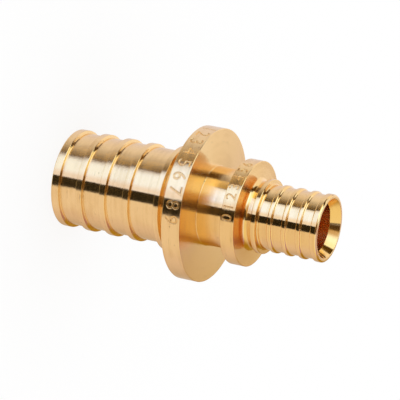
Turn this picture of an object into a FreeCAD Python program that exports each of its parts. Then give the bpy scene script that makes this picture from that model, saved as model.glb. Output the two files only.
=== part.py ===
import FreeCAD, Part

import math
import os

# Reducing coupling for plastic pressure pipe, turned from one bar of brass.
# All sizes are in millimetres. The axis is Z: the large spigot stands at the bottom with its
# end face at zero, and the small spigot points up.

# Lengths along the axis, from the bottom up
large_spigot_length = 28.3
large_flange_thickness = 4.0
neck_length = 6.5
small_flange_thickness = 3.0
small_spigot_length = 16.2

# Flanges and the neck between them, which tapers from the large flange to the small one
large_flange_diameter = 31.9
neck_large_diameter = 16.5
neck_small_diameter = 16.0
small_flange_diameter = 21.8
flange_edge_chamfer = 0.1
neck_root_bevel = 0.12

# Barbs of the large spigot: each is a low ring with a flat crest and two steep sides, the one
# that faces the flange being the steeper
large_body_diameter = 19.3
large_barb_height = 0.6
large_barb_count = 4
large_barb_pitch = 5.35
large_barb_length = 1.6
large_end_barb_length = 1.85
large_barb_rise = 0.14
large_barb_flank = 0.12
large_end_chamfer = 0.15

# Barbs of the small spigot
small_body_diameter = 13.16
small_barb_height = 0.39
small_barb_count = 4
small_barb_pitch = 3.12
small_barb_length = 1.08
small_end_barb_length = 1.44
small_barb_rise = 0.2
small_barb_flank = 0.09
small_end_chamfer = 0.25

# Collars that stop the pipe, and the relief between each collar and its flange. The large
# relief widens to the flange in a cone, and the small one in a hollow curve.
large_collar_height = 1.25
large_collar_length = 1.2
large_collar_foot = 0.1
large_relief_length = 3.3
large_relief_cone_length = 2.3
large_relief_cone_height = 0.9
small_collar_height = 1.1
small_collar_length = 1.05
small_collar_foot = 0.3
small_relief_length = 2.15
small_relief_radius = 1.05
collar_edge_chamfer = 0.1

# The water way
large_bore_diameter = 16.2
small_bore_diameter = 10.25
large_bore_depth = 29.5
reducing_cone_half_angle = 45.0
end_face_width = 0.6
countersink_half_angle = 26.5


def barb_outline(end, length, body_radius, height, rise, flank):
    """One barb from its mouth side to its flange side, as (distance from the mouth, radius)."""
    crest = body_radius + height
    return [
        (end - length, body_radius),
        (end - length + rise, crest),
        (end - flank, crest),
        (end, body_radius),
    ]


def end_barb_outline(end, body_radius, height, flank, chamfer):
    """The barb at the mouth, which starts at the end face with a chamfer."""
    crest = body_radius + height
    return [
        (0.0, crest - chamfer),
        (chamfer, crest),
        (end - flank, crest),
        (end, body_radius),
    ]


def collar_outline(end, length, body_radius, height, foot):
    """The collar from its mouth side to the relief, with a bevel at its foot."""
    start = end - length
    return [
        (start - foot, body_radius),
        (start, body_radius + foot),
        (start, body_radius + height),
        (end, body_radius + height),
        (end, body_radius),
    ]


def large_spigot_outline():
    body = large_body_diameter / 2
    points = end_barb_outline(large_end_barb_length, body, large_barb_height,
                              large_barb_flank, large_end_chamfer)
    for number in range(1, large_barb_count):
        end = large_end_barb_length + number * large_barb_pitch
        points += barb_outline(end, large_barb_length, body, large_barb_height,
                               large_barb_rise, large_barb_flank)
    collar_end = large_spigot_length - large_relief_length
    points += collar_outline(collar_end, large_collar_length, body, large_collar_height,
                             large_collar_foot)
    return points + [
        (large_spigot_length - large_relief_cone_length, body),
        (large_spigot_length, body + large_relief_cone_height),
    ]


def small_spigot_outline():
    body = small_body_diameter / 2
    points = end_barb_outline(small_end_barb_length, body, small_barb_height,
                              small_barb_flank, small_end_chamfer)
    for number in range(1, small_barb_count):
        end = small_end_barb_length + number * small_barb_pitch
        points += barb_outline(end, small_barb_length, body, small_barb_height,
                               small_barb_rise, small_barb_flank)
    collar_end = small_spigot_length - small_relief_length
    points += collar_outline(collar_end, small_collar_length, body, small_collar_height,
                             small_collar_foot)
    return points + [(small_spigot_length, body)]


# Heights of the flange faces and of the top end
large_flange_top = large_spigot_length + large_flange_thickness
small_flange_bottom = large_flange_top + neck_length
small_flange_top = small_flange_bottom + small_flange_thickness
total_length = small_flange_top + small_spigot_length


def outside_outline():
    """The turned outside from the bottom end to the top end, as (radius, height)."""
    large = [(radius, distance) for distance, radius in large_spigot_outline()]
    middle = [
        (large_flange_diameter / 2, large_spigot_length),
        (large_flange_diameter / 2, large_flange_top),
        (neck_large_diameter / 2 + neck_root_bevel, large_flange_top),
        (neck_large_diameter / 2, large_flange_top + neck_root_bevel),
        (neck_small_diameter / 2, small_flange_bottom - neck_root_bevel),
        (neck_small_diameter / 2 + neck_root_bevel, small_flange_bottom),
        (small_flange_diameter / 2, small_flange_bottom),
        (small_flange_diameter / 2, small_flange_top),
    ]
    small = [(radius, total_length - distance) for distance, radius in small_spigot_outline()]
    return large + middle + small[::-1]


def water_way_outline(top_edge_radius, bottom_edge_radius):
    """The bore from the top end down to the bottom end, as (radius, height)."""
    slope = math.tan(math.radians(countersink_half_angle))
    small_bore = small_bore_diameter / 2
    large_bore = large_bore_diameter / 2
    top_mouth = top_edge_radius - end_face_width
    bottom_mouth = bottom_edge_radius - end_face_width
    cone_length = (large_bore - small_bore) / math.tan(math.radians(reducing_cone_half_angle))
    return [
        (top_mouth, total_length),
        (small_bore, total_length - (top_mouth - small_bore) / slope),
        (small_bore, large_bore_depth + cone_length),
        (large_bore, large_bore_depth),
        (large_bore, (bottom_mouth - large_bore) / slope),
        (bottom_mouth, 0.0),
    ]


def turned(outline):
    """Turns a closed outline of (radius, height) points about the axis."""
    corners = [FreeCAD.Vector(radius, 0, height) for radius, height in outline]
    profile = Part.Face(Part.makePolygon(corners + corners[:1]))
    return profile.revolve(FreeCAD.Vector(0, 0, 0), FreeCAD.Vector(0, 0, 1), 360)


def ring_edges(shape, places):
    """The circular edges that run about the axis at the given (radius, height) places."""
    found = []
    for edge in shape.Edges:
        if not isinstance(edge.Curve, Part.Circle):
            continue
        for radius, height in places:
            same_radius = abs(edge.Curve.Radius - radius) < 1e-6
            same_height = abs(edge.Curve.Center.z - height) < 1e-6
            if same_radius and same_height:
                found.append(edge)
    return found


def coupling_body():
    outside = outside_outline()
    bottom_edge_radius = outside[0][0]
    top_edge_radius = outside[-1][0]
    body = turned(outside + water_way_outline(top_edge_radius, bottom_edge_radius))
    flange_edges = [
        (large_flange_diameter / 2, large_spigot_length),
        (large_flange_diameter / 2, large_flange_top),
        (small_flange_diameter / 2, small_flange_bottom),
        (small_flange_diameter / 2, small_flange_top),
    ]
    body = body.makeChamfer(flange_edge_chamfer, ring_edges(body, flange_edges))
    relief_root = [(small_body_diameter / 2, small_flange_top)]
    body = body.makeFillet(small_relief_radius, ring_edges(body, relief_root))
    large_collar_radius = large_body_diameter / 2 + large_collar_height
    large_collar_top = large_spigot_length - large_relief_length
    small_collar_radius = small_body_diameter / 2 + small_collar_height
    small_collar_bottom = small_flange_top + small_relief_length
    collar_edges = [
        (large_collar_radius, large_collar_top - large_collar_length),
        (large_collar_radius, large_collar_top),
        (small_collar_radius, small_collar_bottom),
        (small_collar_radius, small_collar_bottom + small_collar_length),
    ]
    return body.makeChamfer(collar_edge_chamfer, ring_edges(body, collar_edges))


os.makedirs("parts", exist_ok=True)
coupling = coupling_body()
coupling.exportStep("parts/coupling_body.step")
print("coupling_body", coupling.isValid(), len(coupling.Solids), round(coupling.Volume, 1))
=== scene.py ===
import math
from collections import namedtuple
from itertools import accumulate

import bmesh
import bpy
from mathutils import Matrix, Vector


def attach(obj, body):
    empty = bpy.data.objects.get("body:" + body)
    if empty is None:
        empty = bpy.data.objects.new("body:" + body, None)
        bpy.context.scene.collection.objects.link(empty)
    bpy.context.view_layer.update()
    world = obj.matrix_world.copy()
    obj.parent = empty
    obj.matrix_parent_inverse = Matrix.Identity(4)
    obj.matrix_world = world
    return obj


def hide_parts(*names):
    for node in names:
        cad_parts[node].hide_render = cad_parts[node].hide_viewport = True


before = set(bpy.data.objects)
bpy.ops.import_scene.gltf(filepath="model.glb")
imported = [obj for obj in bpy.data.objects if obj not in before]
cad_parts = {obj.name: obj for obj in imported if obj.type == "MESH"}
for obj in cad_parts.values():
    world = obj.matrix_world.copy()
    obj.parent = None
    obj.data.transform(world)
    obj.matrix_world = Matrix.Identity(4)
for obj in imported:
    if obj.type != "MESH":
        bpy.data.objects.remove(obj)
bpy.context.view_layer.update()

bl_info = {
    "name": "Reducing Coupling",
    "version": (1, 0, 0),
    "blender": (4, 5, 0),
    "location": "View3D > Sidebar > Coupling",
    "description": "Turned brass coupling with two barbed spigots and two flanges",
    "category": "Object",
}

MM = 0.001
NODE = "coupling_body"
WHITE = (1.0, 1.0, 1.0, 1.0)

# The mesh attribute that holds each face's roughness
ROUGHNESS = "roughness"

# The body is cut and shaded at a thousand times its size, because the Weighted Normal modifier
# leaves out faces as small as these.
ENLARGED = Matrix.Scale(1000.0, 4)


# Properties

def length(name, description, millimetres):
    """A length that a user can change, given in millimetres and kept in metres."""
    return bpy.props.FloatProperty(name=name, description=description, default=millimetres * MM,
                                   min=0.0, unit="LENGTH", precision=5)


def degrees(name, description, value):
    """An angle that a user can change, given in degrees and kept in radians."""
    return bpy.props.FloatProperty(name=name, description=description,
                                   default=math.radians(value), subtype="ANGLE")


def share(name, description, value):
    """A number from nothing to one that a user can change."""
    return bpy.props.FloatProperty(name=name, description=description, default=value,
                                   min=0.0, max=1.0, subtype="FACTOR")


def colour(name, description, value):
    """A colour that a user can change."""
    return bpy.props.FloatVectorProperty(name=name, description=description, default=value,
                                         size=3, min=0.0, soft_max=1.0, subtype="COLOR")


def count(name, description, value, least=1):
    """A whole number that a user can change."""
    return bpy.props.IntProperty(name=name, description=description, default=value, min=least)


def digits(name, description, value):
    """A row of digits that a user can change."""
    return bpy.props.StringProperty(name=name, description=description, default=value)


class LargeSpigotSizes(bpy.types.PropertyGroup):
    """Sizes of the spigot that stands on the floor."""

    length: length("Length", "From the end face to the flange", 28.3)
    body_diameter: length("Body diameter", "Diameter between the barbs", 19.3)
    barb_height: length("Barb height", "From the body to a barb's crest", 0.6)
    barb_count: count("Barbs", "How many barbs it has", 4)
    barb_pitch: length("Barb pitch", "From one barb to the next", 5.35)
    barb_length: length("Barb length", "Length of one barb", 1.6)
    end_barb_length: length("End barb length", "Length of the barb at the mouth", 1.85)
    rise: length("Rise", "Length of the barb's steep front", 0.14)
    flank: length("Flank", "Length of the barb's steep back", 0.12)
    end_chamfer: length("End chamfer", "Chamfer of the mouth's outer edge", 0.15)
    collar_height: length("Collar height", "From the body to the collar's rim", 1.25)
    collar_length: length("Collar length", "Length of the collar", 1.2)
    collar_foot: length("Collar foot", "Radius at the foot of the collar's front", 0.1)
    relief_length: length("Relief length", "From the collar to the flange", 3.3)
    relief_run: length("Relief run", "Length of the part that widens to the flange", 2.3)
    relief_flare: length("Relief flare", "How much the relief widens to the flange", 0.9)
    relief_hollow: length("Relief hollow", "Radius where the relief meets the flange", 0.06)
    edge: length("Edge", "Rounding of the barbs' and the collar's edges", 0.08)
    bore_diameter: length("Bore diameter", "Diameter of the water way", 16.2)


class SmallSpigotSizes(bpy.types.PropertyGroup):
    """Sizes of the spigot that points up."""

    length: length("Length", "From the end face to the flange", 16.2)
    body_diameter: length("Body diameter", "Diameter between the barbs", 13.16)
    barb_height: length("Barb height", "From the body to a barb's crest", 0.39)
    barb_count: count("Barbs", "How many barbs it has", 4)
    barb_pitch: length("Barb pitch", "From one barb to the next", 3.12)
    barb_length: length("Barb length", "Length of one barb", 1.08)
    end_barb_length: length("End barb length", "Length of the barb at the mouth", 1.44)
    rise: length("Rise", "Length of the barb's steep front", 0.2)
    flank: length("Flank", "Length of the barb's steep back", 0.09)
    end_chamfer: length("End chamfer", "Chamfer of the mouth's outer edge", 0.25)
    collar_height: length("Collar height", "From the body to the collar's rim", 1.1)
    collar_length: length("Collar length", "Length of the collar", 1.05)
    collar_foot: length("Collar foot", "Radius at the foot of the collar's front", 0.3)
    relief_length: length("Relief length", "From the collar to the flange", 2.15)
    relief_run: length("Relief run", "Length of the part that widens to the flange", 0.0)
    relief_flare: length("Relief flare", "How much the relief widens to the flange", 0.0)
    relief_hollow: length("Relief hollow", "Radius where the relief meets the flange", 1.05)
    edge: length("Edge", "Rounding of the barbs' and the collar's edges", 0.13)
    bore_diameter: length("Bore diameter", "Diameter of the water way", 10.25)


class BodySizes(bpy.types.PropertyGroup):
    """Sizes of the flanges, the neck, the water way and the edges."""

    large_flange_diameter: length("Large flange diameter", "Rim of the large flange", 31.9)
    large_flange_thickness: length("Large flange thickness", "Width of its rim", 4.0)
    small_flange_diameter: length("Small flange diameter", "Rim of the small flange", 21.8)
    small_flange_thickness: length("Small flange thickness", "Width of its rim", 3.0)
    neck_large_diameter: length("Neck large diameter", "At the large flange", 16.5)
    neck_small_diameter: length("Neck small diameter", "At the small flange", 16.0)
    neck_length: length("Neck length", "From one flange to the other", 6.5)
    neck_root: length("Neck root", "Rounding where the neck meets a flange", 0.12)
    flange_edge: length("Flange edge", "Rounding of the flanges' edges", 0.1)
    bore_edge: length("Bore edge", "Rounding of the water way's edges", 0.06)
    large_bore_depth: length("Large bore depth", "From the bottom to the reducing cone", 29.5)
    cone_angle: degrees("Cone angle", "Half angle of the reducing cone", 45.0)
    mouth_width: length("Mouth width", "Width of the flat ring at each mouth", 0.6)
    mouth_angle: degrees("Mouth angle", "Half angle of the countersink in each mouth", 26.5)
    turns: count("Turning steps", "Facets about the axis", 288, least=48)


class NumberSizes(bpy.types.PropertyGroup):
    """Plain numbers that are engraved in the flanges' rims."""

    large_digits: digits("Large flange digits", "Read towards the front", "123456789")
    large_height: length("Large digit height", "Height of a digit on the large flange", 2.9)
    large_pitch: length("Large digit pitch", "From one digit to the next", 3.0)
    large_start: degrees("Large start", "Where the row starts, from the front", 70.0)
    small_digits: digits("Small flange digits", "Read away from the front", "0123456")
    small_height: length("Small digit height", "Height of a digit on the small flange", 2.2)
    small_pitch: length("Small digit pitch", "From one digit to the next", 2.2)
    small_start: degrees("Small start", "Where the row starts, from the front", -10.0)
    depth: length("Depth", "Depth of the engraving", 0.12)


class BrassFinish(bpy.types.PropertyGroup):
    """Look of the turned brass."""

    brass: colour("Brass", "Colour of the metal at the large end", (0.87, 0.57, 0.20))
    deep_brass: colour("Deep brass", "Colour of the metal at the small end", (0.87, 0.55, 0.17))
    tarnish: colour("Tarnish", "What dull patches multiply that colour by", (0.93, 0.90, 0.86))
    pit: colour("Pit", "Colour inside the small pits", (0.16, 0.09, 0.03))
    # Painted shade: darkens the engraved digits to stand in for the darker reflections in their
    # grooves
    stain: colour("Painted digit shade", "What the digits multiply the metal's colour by", (0.97, 0.88, 0.74))
    land: share("Lands", "Roughness of the large end and the rims", 0.16)
    small_land: share("Small lands", "Roughness of the small end's barbs and collar", 0.12)
    face: share("Faces", "Roughness of the flanges' faces", 0.2)
    neck: share("Neck", "Roughness of the neck", 0.17)
    bore: share("Bore", "Roughness of the water way", 0.19)
    digits: share("Digits", "Roughness of the engraved digits", 0.3)
    brushing: share("Brushing", "How much the tool lines stretch a reflection", 1.0)
    line_pitch: length("Tool line pitch", "From one fine tool line to the next", 0.2)
    line_height: length("Tool line height", "Height of the fine tool lines", 0.004)
    streak_length: length("Streak length", "Length of a streak along a tool line", 0.45)
    streak_height: length("Streak height", "Height of the streaks", 0.008)


class StudioSettings(bpy.types.PropertyGroup):
    """Floor, light and camera."""

    floor_size: length("Floor size", "Length of each side of the floor", 4000.0)
    floor_paper: colour("Paper", "Colour of the floor", (1.0, 1.0, 1.0))
    floor_glow: share("Floor glow", "How much of the floor's white is free of shadow", 0.8)
    target: bpy.props.FloatVectorProperty(name="Target", description="Point that is looked at",
                                          default=(-0.55 * MM, 0.0, 29.12 * MM),
                                          subtype="XYZ", unit="LENGTH")
    distance: length("Distance", "From the target to the camera", 500.13)
    tilt: degrees("Tilt", "How far the camera looks down", 23.51)
    roll: degrees("Roll", "Turn of the camera about its line of sight", 101.375)
    lens: bpy.props.FloatProperty(name="Lens", description="Focal length of the camera",
                                  default=219.87, unit="CAMERA")


class CouplingSettings(bpy.types.PropertyGroup):
    """Everything that a user can change."""

    large: bpy.props.PointerProperty(type=LargeSpigotSizes, name="Large spigot")
    small: bpy.props.PointerProperty(type=SmallSpigotSizes, name="Small spigot")
    body: bpy.props.PointerProperty(type=BodySizes, name="Body")
    numbers: bpy.props.PointerProperty(type=NumberSizes, name="Numbers")
    finish: bpy.props.PointerProperty(type=BrassFinish, name="Finish")
    studio: bpy.props.PointerProperty(type=StudioSettings, name="Studio")


# Outline of the turned body

def barb_outline(start, end, sizes, first):
    """One barb from its mouth side to its flange side, as (distance from the mouth, radius)."""
    body = sizes.body_diameter / 2
    crest = body + sizes.barb_height
    if first:
        mouth = [(start, crest - sizes.end_chamfer), (start + sizes.end_chamfer, crest)]
    else:
        mouth = [(start, body), (start + sizes.rise, crest)]
    return mouth + [(end - sizes.flank, crest), (end, body)]


def spigot_outline(sizes):
    """The barbs, the collar and the relief, as (distance from the mouth, radius, rounding)."""
    barbs = barb_outline(0.0, sizes.end_barb_length, sizes, first=True)
    for number in range(1, sizes.barb_count):
        end = sizes.end_barb_length + number * sizes.barb_pitch
        barbs += barb_outline(end - sizes.barb_length, end, sizes, first=False)
    body = sizes.body_diameter / 2
    rim = body + sizes.collar_height
    relief = sizes.length - sizes.relief_length
    collar = relief - sizes.collar_length
    edge = sizes.edge
    points = [(distance, radius, edge) for distance, radius in barbs]
    points += [(collar, body, sizes.collar_foot), (collar, rim, edge), (relief, rim, edge),
               (relief, body, edge)]
    if sizes.relief_run > 0:
        points.append((sizes.length - sizes.relief_run, body, edge))
    points.append((sizes.length, body + sizes.relief_flare, sizes.relief_hollow))
    return points


def flange_heights(settings):
    """Heights of the four flange faces and of the top end, from the bottom up."""
    body = settings.body
    return accumulate([settings.large.length, body.large_flange_thickness, body.neck_length,
                       body.small_flange_thickness, settings.small.length])


def body_outline(settings):
    """The closed section of the body, as (radius, height, rounding)."""
    body = settings.body
    edge = body.bore_edge
    large_bottom, large_top, small_bottom, small_top, top = flange_heights(settings)
    large_rim = body.large_flange_diameter / 2
    small_rim = body.small_flange_diameter / 2
    section = [(radius, height, rounding)
               for height, radius, rounding in spigot_outline(settings.large)]
    section += [
        (large_rim, large_bottom, body.flange_edge),
        (large_rim, large_top, body.flange_edge),
        (body.neck_large_diameter / 2, large_top, body.neck_root),
        (body.neck_small_diameter / 2, small_bottom, body.neck_root),
        (small_rim, small_bottom, body.flange_edge),
        (small_rim, small_top, body.flange_edge),
    ]
    small = [(radius, top - height, rounding)
             for height, radius, rounding in spigot_outline(settings.small)]
    section += small[::-1]
    large_bore = settings.large.bore_diameter / 2
    small_bore = settings.small.bore_diameter / 2
    top_mouth = section[-1][0] - body.mouth_width
    bottom_mouth = section[0][0] - body.mouth_width
    slope = math.tan(body.mouth_angle)
    cone = (large_bore - small_bore) / math.tan(body.cone_angle)
    return section + [
        (top_mouth, top, edge),
        (small_bore, top - (top_mouth - small_bore) / slope, edge),
        (small_bore, body.large_bore_depth + cone, edge),
        (large_bore, body.large_bore_depth, edge),
        (large_bore, (bottom_mouth - large_bore) / slope, edge),
        (bottom_mouth, 0.0, edge),
    ]


# Shader nodes

class Signal:
    """The output of a shader node. Arithmetic on it adds Math nodes."""

    def __init__(self, maker, socket):
        self.maker = maker
        self.socket = socket

    def __add__(self, other):
        return self.maker.maths("ADD", self, other)

    def __sub__(self, other):
        return self.maker.maths("SUBTRACT", self, other)

    def __rsub__(self, other):
        return self.maker.maths("SUBTRACT", other, self)

    def __mul__(self, other):
        return self.maker.maths("MULTIPLY", self, other)

    def __truediv__(self, other):
        return self.maker.maths("DIVIDE", self, other)

    def __rtruediv__(self, other):
        return self.maker.maths("DIVIDE", other, self)

    def __neg__(self):
        return self * -1.0

    __radd__ = __add__
    __rmul__ = __mul__


class NodeMaker:
    """Adds nodes to one emptied node tree."""

    # Sockets of a Mix node that mixes colours, which share their names with others
    FACTOR, FIRST, SECOND, RESULT = 0, 6, 7, 2

    def __init__(self, tree):
        self.tree = tree
        tree.nodes.clear()

    def add(self, kind, settings=None, sockets=None, output=0):
        """A node with its settings, and then the values or links of its sockets."""
        node = self.tree.nodes.new(kind)
        for name, value in (settings or {}).items():
            setattr(node, name, value)
        for key, value in (sockets or {}).items():
            if isinstance(value, Signal):
                self.tree.links.new(value.socket, node.inputs[key])
            else:
                node.inputs[key].default_value = value
        return Signal(self, node.outputs[output]) if len(node.outputs) else node

    def maths(self, operation, *values):
        """A Math node on values and links."""
        return self.add("ShaderNodeMath", {"operation": operation}, dict(enumerate(values)))

    def mix(self, factor, first, second, blend_type="MIX"):
        """A colour between two colours."""
        return self.add("ShaderNodeMix", {"data_type": "RGBA", "blend_type": blend_type},
                        {self.FACTOR: factor, self.FIRST: first, self.SECOND: second},
                        self.RESULT)

    def multiply(self, first, second):
        """The product of two colours."""
        return self.mix(1.0, first, second, "MULTIPLY")

    def split(self, vector):
        """The three numbers of a vector."""
        node = self.add("ShaderNodeSeparateXYZ", sockets={"Vector": vector}).socket.node
        return [Signal(self, node.outputs[axis]) for axis in "XYZ"]

    def step(self, value, low, high):
        """Nothing below low, one above high and a smooth rise between them."""
        return self.add("ShaderNodeMapRange", {"interpolation_type": "SMOOTHSTEP"},
                        {"Value": value, "From Min": low, "From Max": high})

    def edge(self, value, middle, width):
        """A smooth rise from nothing to one, given by its middle and its width."""
        return self.step(value, middle - width / 2, middle + width / 2)

    def noise(self, vector, scale, detail=2.0):
        """A soft random pattern, between nothing and one."""
        return self.add("ShaderNodeTexNoise", {"noise_dimensions": "3D"},
                        {"Vector": vector, "Scale": scale, "Detail": detail})

    def vector(self, x, y, z):
        """A vector from its three numbers."""
        return self.add("ShaderNodeCombineXYZ", sockets={0: x, 1: y, 2: z})


def opaque(colour_value):
    """A colour with its fourth number, as sockets take it."""
    return (*colour_value, 1.0)


# The brass

# Patterns that the tool drew out into rings: how fine each is across the rings, where one is the
# fineness of the tool lines, and how often it changes along them, per metre
LINES = (1.0, 45.0)
WIDE_LINES = (0.22, 30.0)
MARKS = (1.5, 400.0)

# Patterns that don't follow the tool, by their scale per metre
PATCHES = 260.0
PITS = 420.0

# Where each pattern begins to show and where it is at its full strength
DULL_RANGE = (0.44, 0.66)
MARK_RANGE = (0.68, 0.76)
STREAK_RANGE = (0.3, 0.65)

# Distances from a pit's middle, in cells of the pattern, between which the pit ends
PIT_EDGE = (0.03, 0.05)

# Heights between which the colour of the large end turns into that of the small one
COLOUR_CHANGE = (30.0 * MM, 43.0 * MM)

# On the flanges' faces, as shares of what they are on the spigots: how close the tool lines lie,
# how high they are, and how dull the patches are
FACE_LINE_FINENESS = 0.83
FACE_LINE_HEIGHT = 0.25
FACE_DULLNESS = 0.4

# How much of the dark colour a pit and a mark take on, and a pit's depth in tool line heights
PIT_DARKNESS = 0.85
MARK_DARKNESS = 0.4
PIT_DEPTH = 2.0

# Roughness of clean metal as a share of its face's, what full dullness adds to that share, and
# how far below the roughness of the digits their painted shade begins
CLEAN_ROUGHNESS = 0.85
DULL_ROUGHNESS = 0.3
DIGIT_SHADE_FADE = 0.1

# The part of a full turn that makes reflections stretch across the tool lines
STRETCH_TURN = 0.25


def brass_material(finish):
    """Turned brass: fine rings from the tool that stretch its reflections, streaks and pits."""
    material = bpy.data.materials.new("turned_brass")
    material.use_nodes = True
    maker = NodeMaker(material.node_tree)
    place = maker.add("ShaderNodeTexCoord", output="Object")
    x, y, z = maker.split(place)
    rough = maker.add("ShaderNodeAttribute", {"attribute_name": ROUGHNESS}, output="Fac")
    radius = maker.maths("SQRT", x * x + y * y)
    across = (z + radius * FACE_LINE_FINENESS) / finish.line_pitch

    # One on the spigots and the rims, nothing on the flanges' faces and in the digits
    land = 1 - maker.step(rough, finish.land, finish.face)

    def rings(fineness, changes):
        """Noise drawn out about the axis, as the tool leaves it."""
        return maker.noise(maker.vector(across * fineness, x * changes, y * changes), scale=1.0)

    lines = rings(*LINES)
    wide_lines = rings(*WIDE_LINES)
    marks = rings(*MARKS)
    streaks = maker.noise(maker.vector(across, x / finish.streak_length,
                                       y / finish.streak_length), scale=1.0)
    patches = maker.noise(place, PATCHES, detail=3.0)
    cells = maker.add("ShaderNodeTexVoronoi", {"feature": "F1"},
                      {"Vector": place, "Scale": PITS})
    pits = 1 - maker.step(cells, *PIT_EDGE)

    dull = (maker.step((patches + wide_lines) / 2, *DULL_RANGE)
            * (FACE_DULLNESS + land * (1 - FACE_DULLNESS)))
    metal = maker.mix(maker.step(z, *COLOUR_CHANGE), opaque(finish.brass),
                      opaque(finish.deep_brass))
    # Painted shade: the engraved digits take a darker metal colour, standing in for what their
    # groove walls mirror
    metal = maker.mix(maker.step(rough, finish.digits - DIGIT_SHADE_FADE, finish.digits), metal,
                      maker.multiply(metal, opaque(finish.stain)))
    skin = maker.mix(dull, metal, maker.multiply(metal, opaque(finish.tarnish)))
    dark = maker.maths("MAXIMUM", pits * PIT_DARKNESS,
                       maker.step(marks, *MARK_RANGE) * land * MARK_DARKNESS)
    height = (lines * (FACE_LINE_HEIGHT + land * (1 - FACE_LINE_HEIGHT)) * finish.line_height
              + streaks * (maker.step(patches, *STREAK_RANGE) * land * finish.streak_height)
              - pits * (finish.line_height * PIT_DEPTH))
    bump = maker.add("ShaderNodeBump", sockets={"Strength": 1.0, "Distance": 1.0,
                                                "Height": height})
    shader = maker.add("ShaderNodeBsdfPrincipled", sockets={
        "Base Color": maker.mix(dark, skin, opaque(finish.pit)),
        "Metallic": 1.0,
        "Roughness": rough * (CLEAN_ROUGHNESS + dull * DULL_ROUGHNESS),
        "Anisotropic": finish.brushing,
        "Anisotropic Rotation": STRETCH_TURN,
        "Normal": bump,
    })
    maker.add("ShaderNodeOutputMaterial", sockets={"Surface": shader})
    return material


# Mesh helpers

# Corners that are nearer to each other than this, in metres, become one.
SAME_PLACE = 1e-7


def new_object(name, data):
    """Links a mesh, a text or a camera to the scene as an object at the origin."""
    obj = bpy.data.objects.new(name, data)
    bpy.context.scene.collection.objects.link(obj)
    return obj


def finished_mesh(bm, name):
    """Writes a bmesh to a new mesh and frees it."""
    mesh = bpy.data.meshes.new(name)
    bm.to_mesh(mesh)
    bm.free()
    return mesh


def closed_mesh(bm, name):
    """Merges the corners of a closed bmesh, turns its faces outwards and makes it a mesh."""
    bmesh.ops.remove_doubles(bm, verts=bm.verts[:], dist=SAME_PLACE)
    bmesh.ops.recalc_face_normals(bm, faces=bm.faces[:])
    return finished_mesh(bm, name)


def modified(piece, kind, **settings):
    """Applies one modifier to a piece."""
    modifier = piece.modifiers.new(kind.lower(), kind)
    for name, value in settings.items():
        setattr(modifier, name, value)
    depsgraph = bpy.context.evaluated_depsgraph_get()
    result = bpy.data.meshes.new_from_object(piece.evaluated_get(depsgraph))
    piece.modifiers.clear()
    old = piece.data
    piece.data = result
    bpy.data.meshes.remove(old)


def shade(piece, sharp_angle=math.radians(35)):
    """Smooth, with the long faces kept straight and a crease at each sharp edge."""
    piece.data.shade_smooth()
    piece.data.set_sharp_from_angle(angle=sharp_angle)
    modified(piece, "WEIGHTED_NORMAL", mode="FACE_AREA", keep_sharp=True)


# How far along a direction a face's normal has to reach to count as facing that way
FACING = 0.9

# Where a face of an engraved digit lies: at most this many times the engraving's depth under the
# rim, and at least this far
DEEPEST_CUT = 1.5
SHALLOWEST_CUT = 0.005 * MM


def mark_roughness(mesh, settings):
    """Writes each face's roughness by the way it faces and where it lies."""
    finish = settings.finish
    body = settings.body
    large_bottom, large_top, small_bottom, small_top, _ = flange_heights(settings)
    rims = ((large_bottom, large_top, body.large_flange_diameter / 2),
            (small_bottom, small_top, body.small_flange_diameter / 2))
    neck_radius = body.neck_large_diameter / 2 + body.neck_root
    deepest = settings.numbers.depth * DEEPEST_CUT
    edge = body.flange_edge
    values = []
    for face in mesh.polygons:
        x, y, z = face.center
        radius = math.hypot(x, y)
        outward = (face.normal.x * x + face.normal.y * y) / radius
        cut = any(bottom + edge < z < top - edge
                  and rim - deepest < radius < rim - SHALLOWEST_CUT
                  for bottom, top, rim in rims)
        if cut:
            values.append(finish.digits)
        elif outward < -FACING:
            values.append(finish.bore)
        elif abs(face.normal.z) > FACING:
            values.append(finish.face)
        elif radius < neck_radius and large_top < z < small_bottom:
            values.append(finish.neck)
        elif z > small_top:
            values.append(finish.small_land)
        else:
            values.append(finish.land)
    mesh.attributes.new(ROUGHNESS, "FLOAT", "FACE").data.foreach_set("value", values)


# The turned body

def rounded_section(bm, outline, segments=3):
    """Draws the closed outline in the XZ plane and rounds each corner by its own amount."""
    corners = [bm.verts.new((radius, 0.0, height)) for radius, height, _ in outline]
    for start, end in zip(corners, corners[1:] + corners[:1]):
        bm.edges.new((start, end))
    by_rounding = {}
    for corner, (_, _, rounding) in zip(corners, outline):
        by_rounding.setdefault(rounding, []).append(corner)
    for rounding, group in by_rounding.items():
        bmesh.ops.bevel(bm, geom=group, offset=rounding, offset_type="OFFSET", segments=segments,
                        profile=0.5, affect="VERTICES", material=-1, clamp_overlap=True)


def turned_body(settings):
    """Spins the rounded section about the axis into one closed mesh."""
    bm = bmesh.new()
    rounded_section(bm, body_outline(settings))
    bmesh.ops.spin(bm, geom=bm.verts[:] + bm.edges[:], cent=(0, 0, 0), axis=(0, 0, 1),
                   dvec=(0, 0, 0), angle=math.tau, steps=settings.body.turns, use_merge=True,
                   use_duplicate=False)
    return closed_mesh(bm, "coupling")


# A digit's height as a share of its font's size, and how far its outline is drawn in, as a share
# of the depth, to make up for the cutter's rounded sides
DIGIT_HEIGHT = 0.72
DIGIT_INSET = 0.7


def digit_mesh(digit, height, depth):
    """One digit as a cutter with rounded sides. Its middle plane lies on z = 0."""
    text = bpy.data.curves.new("digit", "FONT")
    text.body = digit
    text.size = height / DIGIT_HEIGHT
    text.align_x = "CENTER"
    text.align_y = "CENTER"
    text.resolution_u = 6
    text.bevel_depth = depth
    text.bevel_resolution = 2
    text.offset = -depth * DIGIT_INSET
    carrier = new_object("digit", text)
    depsgraph = bpy.context.evaluated_depsgraph_get()
    mesh = bpy.data.meshes.new_from_object(carrier.evaluated_get(depsgraph))
    bpy.data.objects.remove(carrier)
    bpy.data.curves.remove(text)
    return mesh


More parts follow.
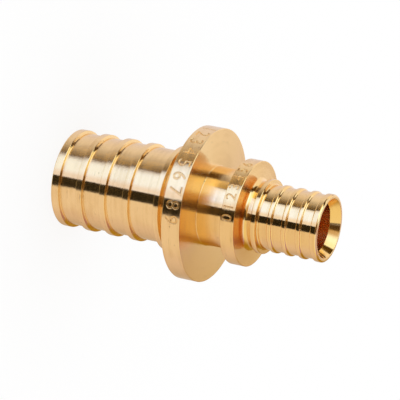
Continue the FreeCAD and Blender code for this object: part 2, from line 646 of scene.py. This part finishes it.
def rim_digits(bm, row, height, pitch, start, rim, level, depth, heading):
    """Adds a row of cutters on a rim. Their tops point up for a heading of 1 and down for -1."""
    up = Vector((0.0, 0.0, heading))
    for number, digit in enumerate(row):
        mesh = digit_mesh(digit, height, depth)
        angle = start - heading * number * pitch / rim
        outward = Vector((-math.sin(angle), -math.cos(angle), 0.0))
        across = up.cross(outward)
        place = Matrix((across, up, outward)).transposed().to_4x4()
        place.translation = outward * rim + Vector((0.0, 0.0, level))
        mesh.transform(place)
        bm.from_mesh(mesh)
        bpy.data.meshes.remove(mesh)


def engraved(body, settings):
    """Cuts the rows of digits out of the flange rims."""
    numbers = settings.numbers
    sizes = settings.body
    large_bottom, large_top, small_bottom, small_top, _ = flange_heights(settings)
    bm = bmesh.new()
    rim_digits(bm, numbers.large_digits, numbers.large_height, numbers.large_pitch,
               numbers.large_start, rim=sizes.large_flange_diameter / 2,
               level=(large_bottom + large_top) / 2, depth=numbers.depth, heading=1)
    rim_digits(bm, numbers.small_digits, numbers.small_height, numbers.small_pitch,
               numbers.small_start, rim=sizes.small_flange_diameter / 2,
               level=(small_bottom + small_top) / 2, depth=numbers.depth, heading=-1)
    mesh = closed_mesh(bm, "cutters")
    mesh.transform(ENLARGED)
    cutters = new_object("cutters", mesh)
    uncut = len(body.data.polygons)
    modified(body, "BOOLEAN", operation="DIFFERENCE", solver="MANIFOLD", object=cutters)
    if len(body.data.polygons) == uncut:
        raise RuntimeError("The digits could not be cut. A smaller depth may help.")
    bpy.data.objects.remove(cutters)
    bpy.data.meshes.remove(mesh)


# Studio

# The metal mirrors cards and lights that stand round the object in rings, one above the other.
# All angles are in degrees. Azimuth is zero on the camera's side and grows towards the top of the
# picture. The first card of a ring stands behind the object, at -180. Each other one has an edge
# with a start and a softness, and covers what follows up to the edge of the next. Where an edge
# leans, its azimuth grows by that much for each degree of height over the ring's middle.
Card = namedtuple("Card", "name colour start softness lean", defaults=(None, None, 0.0))

REAR_WALL = Card("rear wall", (0.63, 0.53, 0.45))
PALE_REAR_WALL = Card("pale rear wall", (0.85, 0.81, 0.88), 140.0, 46.0)
LARGE_END_CARDS = (
    REAR_WALL,
    Card("left wall", (0.82, 0.74, 0.94), -125.0, 60.0),
    Card("left reflector", (0.98, 0.97, 1.36), -87.0, 40.0),
    Card("black card", (0.025, 0.022, 0.02), -27.5, 4.0),
    Card("dim edge of the key light", (0.98, 1.10, 2.14), -2.6, 1.5),
    Card("key light", (1.11, 1.45, 2.70), 12.0, 18.0),
    Card("warm edge of the key light", (1.04, 1.25, 2.42), 46.0, 14.0),
    Card("brown card", (0.20, 0.17, 0.23), 51.0, 1.5, lean=0.6),
    Card("right wall", (0.92, 0.93, 1.30), 80.0, 44.0, lean=0.6),
    PALE_REAR_WALL,
)
LEFT_CARDS = (
    REAR_WALL,
    Card("left wall", (0.89, 0.84, 1.20), -125.0, 60.0),
    Card("left reflector", (0.90, 0.84, 0.95), -87.0, 40.0),
    Card("black card", (0.02, 0.018, 0.015), -27.5, 4.0),
)
SMALL_END_CARDS = (
    *LEFT_CARDS,
    Card("dim edge of the key light", (1.10, 1.28, 2.50), -2.6, 1.5),
    Card("key light", (1.16, 1.75, 5.00), 10.0, 14.0),
    Card("warm edge of the key light", (1.02, 1.22, 2.40), 46.0, 14.0),
    Card("brown card", (0.04, 0.035, 0.03), 52.0, 2.0),
    Card("right wall", (0.95, 1.02, 1.60), 80.0, 50.0),
    PALE_REAR_WALL,
)
NECK_CARDS = (
    *LEFT_CARDS,
    Card("dim edge of the key light", (1.20, 1.50, 3.00), -2.6, 1.5),
    Card("key light", (1.26, 1.85, 5.00), 10.0, 14.0),
    Card("golden card", (2.20, 1.62, 0.75), 53.0, 6.0),
    Card("dark card", (0.22, 0.13, 0.07), 78.0, 6.0),
    Card("right wall", (1.00, 0.96, 1.05), 97.0, 30.0),
    PALE_REAR_WALL,
)
UPPER_CARDS = (
    Card("far end of the right wall", (1.12, 1.15, 1.46)),
    Card("warm wall", (0.46, 0.30, 0.03), -180.0, 6.0),
    Card("left reflector", (1.03, 1.00, 0.90), -118.0, 44.0),
    Card("black card", (0.09, 0.055, 0.03), -29.0, 4.0),
    Card("dim edge of the key light", (0.70, 0.52, 0.35), -4.0, 4.0, lean=0.8),
    Card("key light", (1.42, 1.75, 2.80), 27.0, 30.0),
    Card("warm edge of the key light", (1.34, 1.60, 2.20), 58.0, 20.0),
    Card("dark card", (0.10, 0.06, 0.01), 80.0, 4.0),
    Card("right wall", (1.12, 1.15, 1.46), 108.0, 6.0),
)
TOP_CARDS = (
    Card("warm wall", (0.55, 0.35, 0.90)),
    Card("left reflector", (1.02, 1.16, 1.90), -118.0, 44.0),
    Card("black card", (0.09, 0.06, 0.04), -27.0, 5.0, lean=-0.9),
    Card("dim edge of the key light", (0.90, 0.95, 1.40), 9.0, 8.0, lean=0.4),
    Card("key light", (1.36, 2.00, 4.20), 30.0, 20.0),
    Card("warm edge of the key light", (1.42, 2.10, 3.80), 66.0, 16.0, lean=0.6),
    Card("dark card", (0.05, 0.03, 0.02), 92.0, 6.0, lean=2.0),
    Card("right wall", (1.18, 1.38, 2.20), 120.0, 8.0, lean=2.0),
)
CEILING_CARDS = (
    Card("white ceiling", (1.00, 0.98, 1.00)),
)

# The rings from the lowest up. The first one reaches down to the ground. Each other one has an
# edge with the height at which it starts and a softness. Only rings with a card that leans need
# the height of their middle.
Ring = namedtuple("Ring", "cards start softness middle", defaults=(None, None, 0.0))

RINGS = (
    Ring(LARGE_END_CARDS, middle=-23.5),
    Ring(SMALL_END_CARDS, -23.3, 1.6),
    Ring(NECK_CARDS, -13.5, 3.0),
    Ring(UPPER_CARDS, 0.0, 14.0, middle=23.5),
    Ring(TOP_CARDS, 35.0, 6.0, middle=44.0),
    Ring(CEILING_CARDS, 81.0, 8.0),
)

# The pale ground under the rings, and the sines of the heights between which it fades into them
GROUND = (0.85, 0.85, 0.85)
GROUND_EDGE = (-0.95, -0.8)

# How many times light may be mirrored on its way through the hollows of the metal
BOUNCES = 16


def ring_colour(maker, azimuth, height, ring):
    """The colour of a ring of cards by azimuth and height."""
    over_middle = height - ring.middle
    tone = opaque(ring.cards[0].colour)
    for card in ring.cards[1:]:
        covered = maker.edge(azimuth - over_middle * card.lean, card.start, card.softness)
        tone = maker.mix(covered, tone, opaque(card.colour))
    return tone


def studio_world():
    """White to the camera, plain white light for the floor, and rings of cards for the metal."""
    world = bpy.data.worlds.new("studio")
    world.use_nodes = True
    maker = NodeMaker(world.node_tree)
    x, y, z = maker.split(maker.add("ShaderNodeTexCoord", output="Generated"))
    degrees_per_radian = math.degrees(1.0)
    azimuth = maker.maths("ARCTAN2", -x, -y) * degrees_per_radian
    height = maker.maths("ARCSINE", z) * degrees_per_radian
    tone = ring_colour(maker, azimuth, height, RINGS[0])
    for ring in RINGS[1:]:
        above = maker.edge(height, ring.start, ring.softness)
        tone = maker.mix(above, tone, ring_colour(maker, azimuth, height, ring))
    metal_sees = maker.mix(maker.step(z, *GROUND_EDGE), opaque(GROUND), tone)
    mirrored = maker.add("ShaderNodeLightPath", output="Is Glossy Ray")
    sky = maker.mix(mirrored, WHITE, metal_sees)
    background = maker.add("ShaderNodeBackground", sockets={"Color": sky, "Strength": 1.0})
    maker.add("ShaderNodeOutputWorld", sockets={"Surface": background})
    return world


def floor_material(studio):
    """Paper that glows white to the camera and still takes part of the object's shadow."""
    material = bpy.data.materials.new("paper")
    material.use_nodes = True
    maker = NodeMaker(material.node_tree)
    paper = maker.add("ShaderNodeBsdfDiffuse", sockets={"Color": opaque(studio.floor_paper)})
    glow = maker.add("ShaderNodeEmission", sockets={"Color": WHITE, "Strength": 1.0})
    seen = maker.add("ShaderNodeLightPath", output="Is Camera Ray")
    surface = maker.add("ShaderNodeMixShader",
                        sockets={0: seen * studio.floor_glow, 1: paper, 2: glow})
    maker.add("ShaderNodeOutputMaterial", sockets={"Surface": surface})
    return material


def add_floor(studio):
    """A square of paper under the object, which the metal doesn't mirror."""
    bm = bmesh.new()
    bmesh.ops.create_grid(bm, x_segments=1, y_segments=1, size=studio.floor_size / 2)
    floor = new_object("floor", finished_mesh(bm, "floor"))
    floor.data.materials.append(floor_material(studio))
    floor.visible_glossy = False


def add_camera(studio):
    """Looks down on the target, rolled so that the object's axis lies across the picture."""
    camera = new_object("camera", bpy.data.cameras.new("camera"))
    turn = (Matrix.Rotation(math.pi / 2 - studio.tilt, 4, "X")
            @ Matrix.Rotation(studio.roll, 4, "Z"))
    backward = turn.to_3x3() @ Vector((0.0, 0.0, 1.0))
    place = Vector(studio.target) + backward * studio.distance
    camera.matrix_world = Matrix.Translation(place) @ turn
    camera.data.lens = studio.lens
    camera.data.sensor_width = 36.0
    camera.data.clip_start = 0.01
    camera.data.clip_end = 20.0
    bpy.context.scene.camera = camera


# Operators

class COUPLING_OT_body(bpy.types.Operator):
    """Turn the brass body and engrave the numbers in its flanges"""

    bl_idname = "coupling.body"
    bl_label = "Turned body"

    def execute(self, context):
        settings = context.scene.coupling
        body = new_object("turned_coupling", turned_body(settings))
        body.data.transform(ENLARGED)
        engraved(body, settings)
        shade(body)
        body.data.transform(ENLARGED.inverted())
        mark_roughness(body.data, settings)
        body.data.materials.clear()
        body.data.materials.append(brass_material(settings.finish))
        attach(body, "root")
        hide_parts(NODE)
        return {"FINISHED"}


class COUPLING_OT_stage(bpy.types.Operator):
    """Set up the floor, the light and the camera"""

    bl_idname = "coupling.stage"
    bl_label = "Stage"

    def execute(self, context):
        studio = context.scene.coupling.studio
        add_floor(studio)
        add_camera(studio)
        context.scene.world = studio_world()
        context.scene.cycles.max_bounces = BOUNCES
        context.scene.cycles.glossy_bounces = BOUNCES
        context.scene.view_settings.view_transform = "Standard"
        return {"FINISHED"}


class COUPLING_PT_sidebar(bpy.types.Panel):
    """Lists what can be made and the sizes"""

    bl_label = "Coupling"
    bl_idname = "COUPLING_PT_sidebar"
    bl_space_type = "VIEW_3D"
    bl_region_type = "UI"
    bl_category = "Coupling"

    def draw(self, context):
        for operator in OPERATORS:
            self.layout.operator(operator.bl_idname)
        settings = context.scene.coupling
        for group in CouplingSettings.__annotations__:
            values = getattr(settings, group)
            box = self.layout.box()
            box.label(text=settings.bl_rna.properties[group].name)
            for value in type(values).__annotations__:
                box.prop(values, value)


OPERATORS = (COUPLING_OT_body, COUPLING_OT_stage)
GROUPS = (LargeSpigotSizes, SmallSpigotSizes, BodySizes, NumberSizes, BrassFinish,
          StudioSettings, CouplingSettings)
CLASSES = GROUPS + OPERATORS + (COUPLING_PT_sidebar,)


def register():
    for item in CLASSES:
        bpy.utils.register_class(item)
    bpy.types.Scene.coupling = bpy.props.PointerProperty(type=CouplingSettings)


def unregister():
    del bpy.types.Scene.coupling
    for item in reversed(CLASSES):
        bpy.utils.unregister_class(item)


def main():
    register()
    bpy.ops.coupling.body()
    bpy.ops.coupling.stage()


if __name__ == "__main__":
    main()
